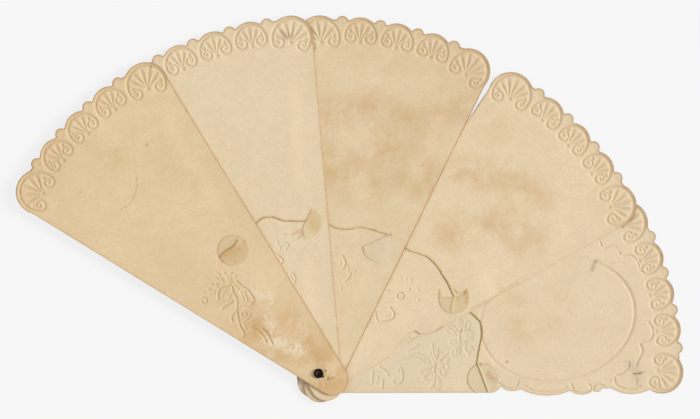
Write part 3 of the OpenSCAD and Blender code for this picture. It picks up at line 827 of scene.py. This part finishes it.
TAB_STAINS = {
    1: {"foxed": [([(226, 256), (240, 250)], 14, 0.7)],
        "brown": [([(222.5, 261.4)], 1.9, 0.95), ([(245.2, 241.6)], 2, 0.8), ([(235.2, 240.2)], 1.8, 0.35),
                  ([(239.2, 249.5)], 2, 0.3), ([(239, 236.4)], 2, 0.35), ([(235.5, 261.6)], 2.4, 0.3),
                  ([(221.4, 258), (227.5, 251.6), (235.4, 245.8)], 2.3, 0.45)]},
    2: {"brown": [([(305.6, 221.5), (306.6, 219.5)], 1.5, 0.7)], "foxed": [([(311.5, 214), (315, 226)], 12, 0.55)],
        "cool": [([(306, 228), (308, 234)], 4, 0.2)]},
    # The first dark mark is painted shade along tab 3's left edge.
    3: {"dark": [([(363.6, 246.4), (364.6, 250)], 1.1, 0.4), ([(386.4, 236)], 1.2, 0.5)],
        "foxed": [([(378, 245), (374, 256)], 14, 0.35)]},
    4: {"brown": [([(456, 299), (459, 299.6)], 2, 0.3), ([(464.4, 294), (466.5, 291)], 1.5, 0.9),
                  ([(466, 303), (466.5, 296)], 3, 0.3)], "cool": [([(445, 302)], 8, 0.3)]},
    5: {"brown": [([(488.5, 373), (490, 377), (494, 379.5)], 4.5, 0.42),
                  ([(480.1, 361.5), (480.5, 366)], 1.4, 0.9),
                  ([(478, 393), (484, 393)], 2, 0.6)]},
}
TAB_TONE = {1: (224, 198, 156), 2: (230, 208, 166), 3: (231, 213, 181), 4: (224, 199, 157), 5: (227, 206, 170)}
# How strongly painted shade darkens the left side of a tab's ridge, away from the light.
CREASE_SHADE = {1: 0.22, 5: 0.4}
TAB_RIM = {1: 0.4, 2: 0.45, 3: 0.55, 4: 0.6, 5: 1}


def make_tab(k):
    middle = seen(TAB_MIDDLE[k])
    if k in TEARS:
        tear = seen(TEARS[k])
        first, last = (math.atan2(*(p - middle)[::-1]) for p in (tear[0], tear[-1]))
        turn = (first - last) % (2 * math.pi)
        angles = last + turn * np.linspace(0, 1, 50)
        loop = np.concatenate([tear[1:-1], middle + polar(TAB_R, np.degrees(angles))])
    else:
        loop = middle + polar(TAB_R, np.arange(0, 360, 5.0))
    leaf = outline_loops(f"leaf_{k}", leaf_top(k), CARD_T)[0]
    out = ~inside(loop, leaf)
    away, way = nearest(loop, resampled(leaf, 0.3))
    loop[out] += (way * (away + 0.03)[:, None])[out]
    ridge = Stroke(curve(seen(RIDGES[k])), 0.75, 0.11) if k in RIDGES else None
    # A band just left of the ridge, the side away from the light, which gets painted shade.
    side = Stroke(ridge.line + (-0.3, 0.12), 0.42, 0.11) if ridge else None
    bent = cockle(k)

    def swell(p):
        return bent(p) + (ridge.dent(p) if ridge else 0)

    marks = TAB_STAINS[k]
    lines = fine_places(marks) + ([Stroke(ridge.line, 0.9, SMALL_DEEP)] if ridge else [])
    tone = TAB_TONE[k]
    material = card(f"tab_paper_{k}", tone, tuple(round(c * 0.93) for c in tone), 0.6)
    piece, flat, away, way, _ = plate(
        f"paper_tab_{k}", [loop], lines, leaf_top(k) + TAB_T, TAB_T - 0.01, material, swell)
    # Tab rims are toned, and get painted shade where they face away from the light.
    lit = way @ (0.8, -0.6)
    mark(piece, "toned_and_shaded", TAB_RIM[k] * np.exp(-((away / 0.26) ** 2)) * np.clip(0.55 - 0.75 * lit, 0.1, 1))
    mark(piece, "grime_and_shade", np.zeros(len(flat)))
    # Painted shade on the ridge's left, the side away from the light; weaker on tab 4.
    mark(piece, "hollow_shade", np.clip(side.dent(flat) / 0.11, 0, 1) ** 2 * (0.3 if k == 4 else 1)
         if ridge else np.zeros(len(flat)))
    # The dark marks start from painted shade on the ridge's left side.
    stain(piece, flat, marks, side.dent(flat) / 0.11 * CREASE_SHADE.get(k, 0) if ridge else 0)
    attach(piece, f"leaf_{k}")
    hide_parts(f"tab_{k}")


# The thread: its holds along each leaf and to its left, and how each free stretch bows.
THREAD_AT = {1: (50.2, -13), 2: (49.7, -11.5), 3: (50.3, -12.4), 4: (50.7, -11.6), 5: (52.10, -9.32)}
TAIL_1_END, TAIL_5_END = (50.35, -4.6), (53.4, -19.4)
BOWS = {
    1: [(0.29, 3.3), (0.39, 4.5), (0.5, 4.5), (0.59, 3.8), (0.66, 2.6), (0.75, 1.6)],
    2: [(0.3, 0.1), (0.38, -0.6), (0.5, -0.6), (0.57, -0.1), (0.68, 0.9), (0.8, 0.7)],
    3: [(0.26, 0.7), (0.4, 2.4), (0.49, 3.5), (0.55, 3.6), (0.66, 3.4), (0.76, 2.5), (0.86, 1.7)],
    4: [(0.29, 3.5), (0.38, 4.6), (0.47, 5.6), (0.55, 5.5), (0.66, 4.7), (0.78, 2.9)],
}
THREAD_W, THREAD_T, THREAD_Z, TAIL_W, TAIL_T = 0.62, 0.19, 0.05, 0.5, 0.08
PLY_TURN = 1.9
THREAD_SIDES = 14
# Dark edges of the thread, dirt and painted shade together: how dark each stretch's left edge is, and how dark both
# edges are along the stretch.
LEFT_DARK = {1: 0.8, 2: 0.6, 3: 0.25, 4: 0.15}
EDGE_DIRT_AND_SHADE = {1: (0.8, 0.65, 0.75), 2: (0.45, 0.4, 0.45), 3: (0.4, 0.3, 0.8, 1), 4: (0.95, 0.95)}


def silk():
    """Old flat two-ply thread, its edges darkened by dirt and by painted shade."""
    s = Shade("thread_silk")
    fibre = s.span(s.noise(0.12, 4, 0.7), 0.3, 0.7)
    tone = s.mix(fibre, (234, 213, 166), (212, 186, 132))
    tone = s.mix(s.span(s.noise(2.5, 3), 0.4, 0.7), tone, (204, 174, 116))
    # Dark edges: dirt together with painted shade.
    tone = s.mix(s.value("edge"), tone, (134, 102, 44))
    s.put(tone, s.shader.inputs["Base Color"])
    s.shader.inputs["Specular IOR Level"].default_value = 0.15
    s.put(s.span(s.noise(1), 0.3, 0.7, 0.6, 0.8), s.shader.inputs["Roughness"])
    s.bump(s.noise(0.1, 3, 0.7), 0.4, 0.03)
    return s.material


def make_thread(k, material):
    a, b = turned(THREAD_AT[k], LEAF_ANGLE[k]), turned(THREAD_AT[k + 1], LEAF_ANGLE[k + 1])
    left = np.array([-(b - a)[1], (b - a)[0]]) / np.linalg.norm(b - a)
    plan = curve([a] + [a + (b - a) * s + left * d for s, d in BOWS[k]] + [b], 14)
    run = np.concatenate([[0], np.cumsum(np.linalg.norm(np.diff(plan, axis=0), axis=1))])
    keep = np.arange(0, run[-1], 0.16)
    plan = np.column_stack([np.interp(keep, run, plan[:, i]) for i in (0, 1)])
    low = leaf_top(k + 1) + THREAD_Z + THREAD_T / 2
    top = leaf_top(k) + (TAIL_T / 2 if k == 1 else -THREAD_T / 2)
    z = low + (top - low) * eased(-keep, -0.75, 0)
    if k < LEAVES - 1:
        on = (plan[-1] - plan[-2]) / np.linalg.norm(plan[-1] - plan[-2])
        plan = np.concatenate([plan, plan[-1] + on * np.array([[0.16], [0.32], [0.46]])])
        z = np.concatenate([z, low - np.array([0.04, 0.11, 0.2])])
    wide, high = np.full(len(plan), THREAD_W), np.full(len(plan), THREAD_T)
    rows = np.column_stack([plan, z, wide, high])
    if k == 1:
        tail = np.linspace(turned(TAIL_1_END, LEAF_ANGLE[1]), a, 40)[:-1]
        rows = np.concatenate([[(*p, top, TAIL_W, TAIL_T) for p in tail], rows])
    if k == LEAVES - 1:
        tail = np.linspace(b, turned(TAIL_5_END, LEAF_ANGLE[LEAVES]), 44)[1:]
        rows = np.concatenate([rows, [(*p, leaf_top(LEAVES) + 0.01 + TAIL_T / 2, TAIL_W, TAIL_T) for p in tail]])
    place, wide, high = rows[:, :3], rows[:, 3], rows[:, 4]
    soften = np.ones(5) / 5
    for column in (wide, high):
        column[2:-2] = np.convolve(column, soften, "valid")
    way = np.gradient(place, axis=0)
    way /= np.linalg.norm(way, axis=1)[:, None]
    side = np.column_stack([-way[:, 1], way[:, 0], np.zeros(len(way))])
    side /= np.linalg.norm(side, axis=1)[:, None]
    up = np.cross(way, side)
    length = np.concatenate([[0], np.cumsum(np.linalg.norm(np.diff(place, axis=0), axis=1))])

    angle = np.linspace(0, 2 * math.pi, THREAD_SIDES, endpoint=False)
    u, v = np.cos(angle), np.sin(angle)
    ply = 0.5 + 0.5 * np.cos(2 * math.pi * length[:, None] / PLY_TURN + 2.2 * u[None, :])
    rise = high[:, None] / 2 * np.sign(v) * np.abs(v) ** 0.7 * (0.62 + 0.38 * ply)
    reach = wide[:, None] / 2 * u * (0.9 + 0.1 * np.cos(2 * math.pi * length[:, None] / PLY_TURN))
    points = place[:, None] + side[:, None] * reach[..., None] + up[:, None] * rise[..., None]
    n, m = len(place), THREAD_SIDES
    faces = [(i * m + j, i * m + (j + 1) % m, (i + 1) * m + (j + 1) % m, (i + 1) * m + j)
             for i in range(n - 1) for j in range(m)]
    faces += [tuple(range(m))[::-1], tuple((n - 1) * m + j for j in range(m))]
    mesh = bpy.data.meshes.new(f"thread_stretch_{k}")
    mesh.from_pydata((points.reshape(-1, 3) * MM).tolist(), [], faces)
    mesh.polygons.foreach_set("use_smooth", np.ones(len(faces), bool))
    # The right edge is dark in full and the left by LEFT_DARK: dirt together with painted shade.
    right = np.clip((-u - 0.1) / 0.5, 0, 1)
    left = np.clip((u - 0.5) / 0.4, 0, 1) * LEFT_DARK[k]
    dirt_and_shade = np.interp(np.linspace(0, 1, n), np.linspace(0, 1, len(EDGE_DIRT_AND_SHADE[k])), EDGE_DIRT_AND_SHADE[k])
    edge = (dirt_and_shade[:, None] * np.maximum(left, right)).ravel()
    mesh.attributes.new("edge", "FLOAT", "POINT").data.foreach_set("value", edge.astype(np.float32))
    mesh.materials.append(material)
    piece = bpy.data.objects.new(mesh.name, mesh)
    bpy.context.scene.collection.objects.link(piece)
    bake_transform(piece)
    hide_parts(f"thread_{k}_{k + 1}")



# The eyelet: bore, barrel and flange, the lip rolled outward, and its torn tongue.
BORE_R, BARREL_R, FLANGE_R, FLANGE_T = 0.55, 0.9, 1.9, 0.22
LIP_R, HEAD_CLEAR = 0.36, 0.03
TONGUE_ANGLE, TONGUE_LONG = -36, 0.62


def make_eyelet():
    lip_z = leaf_top(1) + HEAD_CLEAR + LIP_R
    roll = (BARREL_R - BORE_R) / 2 + LIP_R
    outside = [(BARREL_R + LIP_R + LIP_R * math.cos(a), lip_z + LIP_R * math.sin(a))
               for a in np.radians(np.arange(-165, 1, 15))]
    inside_roll = [(BORE_R + roll - roll * math.cos(a), lip_z + roll * math.sin(a) * 0.86)
                   for a in np.radians(np.arange(168, -1, -12))]
    profile = [(BORE_R, 0), (FLANGE_R - 0.16, 0), (FLANGE_R - 0.04, 0.04), (FLANGE_R, 0.11),
               (FLANGE_R - 0.04, 0.18), (FLANGE_R - 0.16, FLANGE_T), (BARREL_R + 0.05, FLANGE_T),
               (BARREL_R, FLANGE_T + 0.05), (BARREL_R, lip_z - LIP_R - 0.01)]
    profile += outside + inside_roll
    profile += [(BORE_R, lip_z * s) for s in (0.8, 0.6, 0.4, 0.2)]
    turns = np.radians(np.arange(0, 360, 3.0))
    rows = []
    for angle in turns:
        off = (math.degrees(angle) - TONGUE_ANGLE + 180) % 360 - 180
        tongue = math.exp(-((off / 8.5) ** 2))
        split = sum(math.exp(-((((math.degrees(angle) - at + 180) % 360 - 180) / 3.5) ** 2))
                    for at in (-58, 20, 96, 171, 236))
        for r, z in profile:
            lip = r > BARREL_R + 0.02 and z > FLANGE_T + 0.4
            grow = 1 + (tongue * TONGUE_LONG - 0.14 * split) / (2 * LIP_R) if lip else 1
            r_new = BARREL_R + (r - BARREL_R) * grow
            z_new = z - (0.3 * LIP_R * tongue * (r - BARREL_R) / LIP_R if lip and z > lip_z else 0)
            rows.append((r_new * math.cos(angle), r_new * math.sin(angle), z_new))
    n, m = len(turns), len(profile)
    faces = [(i * m + j, ((i + 1) % n) * m + j, ((i + 1) % n) * m + (j + 1) % m, i * m + (j + 1) % m)
             for i in range(n) for j in range(m)]
    mesh = bpy.data.meshes.new("eyelet_metal")
    mesh.from_pydata((np.array(rows) * MM).tolist(), [], faces)
    mesh.polygons.foreach_set("use_smooth", np.ones(len(faces), bool))
    bare = [1.0 if r < BORE_R + 0.01 or (r < BARREL_R and math.cos(angle - 2.6) > 0.2 and z > lip_z - 0.4)
            else 0.0 for angle in turns for r, z in profile]
    mesh.attributes.new("bare", "FLOAT", "POINT").data.foreach_set("value", bare)
    s = Shade("black_lacquer")
    s.shader.inputs["Specular IOR Level"].default_value = 0.12
    tone = s.mix(s.span(s.noise(0.5, 4), 0.5, 0.75), (11, 10, 9), (30, 25, 21))
    tone = s.mix(s.math("MULTIPLY", s.span(s.noise(0.25, 3), 0.68, 0.74), 0.6), tone, (120, 84, 48))
    s.put(s.mix(s.value("bare"), tone, (92, 64, 36)), s.shader.inputs["Base Color"])
    s.put(s.span(s.noise(0.4, 3), 0.3, 0.7, 0.42, 0.65), s.shader.inputs["Roughness"])
    s.bump(s.noise(0.3, 4), 0.3, 0.05)
    mesh.materials.append(s.material)
    piece = bpy.data.objects.new("eyelet_metal", mesh)
    bpy.context.scene.collection.objects.link(piece)
    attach(piece, "leaf_5")
    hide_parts("eyelet")


# How much of the floor's white is its own, towards the camera, except in the eyelet's bore.
FLOOR_GLOW = 0.86


def make_floor():
    size = 1.5
    mesh = bpy.data.meshes.new("table_top")
    mesh.from_pydata([(-size, -size, 0), (size, -size, 0), (size, size, 0), (-size, size, 0)], [], [(0, 1, 2, 3)])
    s = Shade("table_white")
    s.shader.inputs["Base Color"].default_value = colour((247, 247, 248))
    s.shader.inputs["Roughness"].default_value = 0.9
    s.shader.inputs["Specular IOR Level"].default_value = 0.1
    path = s.add("ShaderNodeLightPath")
    seen_ray = s.math("MAXIMUM", path.outputs["Is Camera Ray"], path.outputs["Is Glossy Ray"])
    seen_ray = s.math("MAXIMUM", seen_ray, path.outputs["Is Transmission Ray"])
    white = s.add("ShaderNodeEmission")
    white.inputs["Color"].default_value = colour((247, 247, 247))
    both = s.add("ShaderNodeMixShader")
    away = s.add("ShaderNodeVectorMath", operation="LENGTH")
    s.put(s.place, away.inputs[0])
    shown = s.span(away.outputs["Value"], 0.002, 0.005)
    s.put(s.math("MULTIPLY", s.math("MULTIPLY", seen_ray, FLOOR_GLOW), shown), both.inputs[0])
    s.put(s.shader.outputs[0], both.inputs[1])
    s.put(white.outputs[0], both.inputs[2])
    s.put(both.outputs[0], s.tree.nodes["Material Output"].inputs["Surface"])
    mesh.materials.append(s.material)
    floor = bpy.data.objects.new("table_top", mesh)
    bpy.context.scene.collection.objects.link(floor)


KEY_SHARE = 0.42
KEY_HEIGHT = 29
KEY_FROM = 8
KEY_SPREAD = 22


def make_lights():
    world = bpy.data.worlds.new("studio")
    bpy.context.scene.world = world
    world.use_nodes = True
    back = world.node_tree.nodes["Background"]
    back.inputs["Color"].default_value = (1, 1, 1, 1)
    back.inputs["Strength"].default_value = 1 - KEY_SHARE
    sun = bpy.data.lights.new("key", "SUN")
    sun.energy = math.pi * KEY_SHARE / math.sin(math.radians(KEY_HEIGHT))
    sun.angle = math.radians(KEY_SPREAD)
    lamp = bpy.data.objects.new("key", sun)
    lamp.rotation_euler = (0, math.radians(90 - KEY_HEIGHT), math.radians(KEY_FROM))
    bpy.context.scene.collection.objects.link(lamp)


CAMERA_FAR = 1.6


def make_camera():
    middle = seen([(PHOTO_W / 2, PHOTO_H / 2)])[0] * MM
    data = bpy.data.cameras.new("camera")
    data.sensor_width = 36
    data.lens = 36 * CAMERA_FAR / (PHOTO_W / PX_PER_MM * MM)
    data.clip_end = 10
    camera = bpy.data.objects.new("camera", data)
    camera.location = (middle[0], middle[1], CAMERA_FAR)
    bpy.context.scene.collection.objects.link(camera)
    bpy.context.scene.camera = camera


make_camera()
make_lights()
make_floor()
thread_silk = silk()
for k in range(1, LEAVES + 1):
    make_leaf(k)
    make_tab(k)
    if k < LEAVES:
        make_thread(k, thread_silk)
make_eyelet()
bpy.context.scene.view_settings.view_transform = "Standard"
